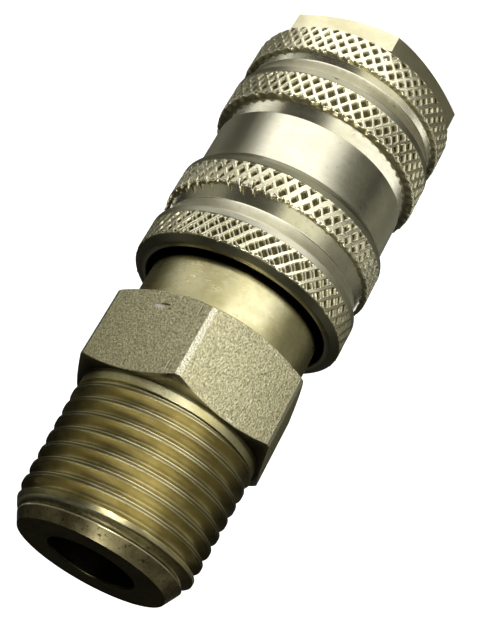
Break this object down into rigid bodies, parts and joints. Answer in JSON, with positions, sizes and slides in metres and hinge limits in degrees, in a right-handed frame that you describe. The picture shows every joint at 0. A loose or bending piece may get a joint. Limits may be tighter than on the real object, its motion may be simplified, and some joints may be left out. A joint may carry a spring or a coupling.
{
  "type": "quick coupling",
  "caption": "Female ball-lock quick coupling socket with a knurled pull-back sleeve, wrench hexagons and a male taper pipe thread.",
  "frame": {"origin": "centre of the nose face, on the axis", "axes": "+Z along the axis, from the nose to the thread end; the adapter's hexagon has a corner on -Y"},
  "size_m": [0.0258, 0.0258, 0.069],
  "materials": {
    "adapter_plate": "yellow passivated zinc plate, grainy on the hexagon",
    "body_plate": "yellow passivated zinc plate",
    "sleeve_plate": "bright plate with a cream tint, turned and knurled",
    "washer_steel": "plain steel",
    "spring_steel": "drawn stainless wire",
    "seal_rubber": "black nitrile",
    "backup_plastic": "white fluoroplastic",
    "valve_steel": "turned steel",
    "ball_steel": "polished bearing ball"
  },
  "bodies": {
    "coupling_body": {"adapter": "adapter_plate", "socket_body": "body_plate", "spring_seat_washer": "washer_steel", "sleeve_spring": "spring_steel", "mouth_seal": "seal_rubber", "backup_ring": "backup_plastic", "body_seal": "seal_rubber", "valve_guide": "valve_steel", "valve_spring": "spring_steel"},
    "sleeve_carrier": {"thrust_washer": "washer_steel"},
    "sleeve": {"release_sleeve": "sleeve_plate"},
    "poppet": {"valve_poppet": "valve_steel", "poppet_seal": "seal_rubber"},
    "ball_1": {"ball_1": "ball_steel"},
    "ball_2": {"ball_2": "ball_steel"},
    "ball_3": {"ball_3": "ball_steel"},
    "ball_4": {"ball_4": "ball_steel"},
    "ball_5": {"ball_5": "ball_steel"},
    "ball_6": {"ball_6": "ball_steel"},
    "ball_7": {"ball_7": "ball_steel"},
    "ball_8": {"ball_8": "ball_steel"}
  },
  "joints": [
    {"name": "sleeve_slide", "type": "slide", "parent": "coupling_body", "child": "sleeve_carrier", "axis": [0, 0, 1], "range_m": [0, 0.0042], "stiffness_N_per_m": 2500, "springref_m": -0.006, "deforming": ["sleeve_spring"]},
    {"name": "sleeve_turn", "type": "hinge", "parent": "sleeve_carrier", "child": "sleeve", "pos_m": [0, 0, 0.02], "axis": [0, 0, 1], "continuous": true},
    {"name": "poppet_slide", "type": "slide", "parent": "coupling_body", "child": "poppet", "axis": [0, 0, 1], "range_m": [0, 0.0045], "stiffness_N_per_m": 1200, "springref_m": -0.006, "deforming": ["valve_spring"]},
    {"name": "ball_1_slide", "type": "slide", "parent": "coupling_body", "child": "ball_1", "axis": [1, 0, 0], "range_m": [0, 0.0009]},
    {"name": "ball_2_slide", "type": "slide", "parent": "coupling_body", "child": "ball_2", "axis": [0.7071, 0.7071, 0], "range_m": [0, 0.0009]},
    {"name": "ball_3_slide", "type": "slide", "parent": "coupling_body", "child": "ball_3", "axis": [0, 1, 0], "range_m": [0, 0.0009]},
    {"name": "ball_4_slide", "type": "slide", "parent": "coupling_body", "child": "ball_4", "axis": [-0.7071, 0.7071, 0], "range_m": [0, 0.0009]},
    {"name": "ball_5_slide", "type": "slide", "parent": "coupling_body", "child": "ball_5", "axis": [-1, 0, 0], "range_m": [0, 0.0009]},
    {"name": "ball_6_slide", "type": "slide", "parent": "coupling_body", "child": "ball_6", "axis": [-0.7071, -0.7071, 0], "range_m": [0, 0.0009]},
    {"name": "ball_7_slide", "type": "slide", "parent": "coupling_body", "child": "ball_7", "axis": [0, -1, 0], "range_m": [0, 0.0009]},
    {"name": "ball_8_slide", "type": "slide", "parent": "coupling_body", "child": "ball_8", "axis": [0.7071, -0.7071, 0], "range_m": [0, 0.0009]}
  ],
  "couplings": [
    {"joint": "ball_1_slide", "follows": "sleeve_slide", "ratio": 0.2142},
    {"joint": "ball_2_slide", "follows": "sleeve_slide", "ratio": 0.2142},
    {"joint": "ball_3_slide", "follows": "sleeve_slide", "ratio": 0.2142},
    {"joint": "ball_4_slide", "follows": "sleeve_slide", "ratio": 0.2142},
    {"joint": "ball_5_slide", "follows": "sleeve_slide", "ratio": 0.2142},
    {"joint": "ball_6_slide", "follows": "sleeve_slide", "ratio": 0.2142},
    {"joint": "ball_7_slide", "follows": "sleeve_slide", "ratio": 0.2142},
    {"joint": "ball_8_slide", "follows": "sleeve_slide", "ratio": 0.2142}
  ]
}
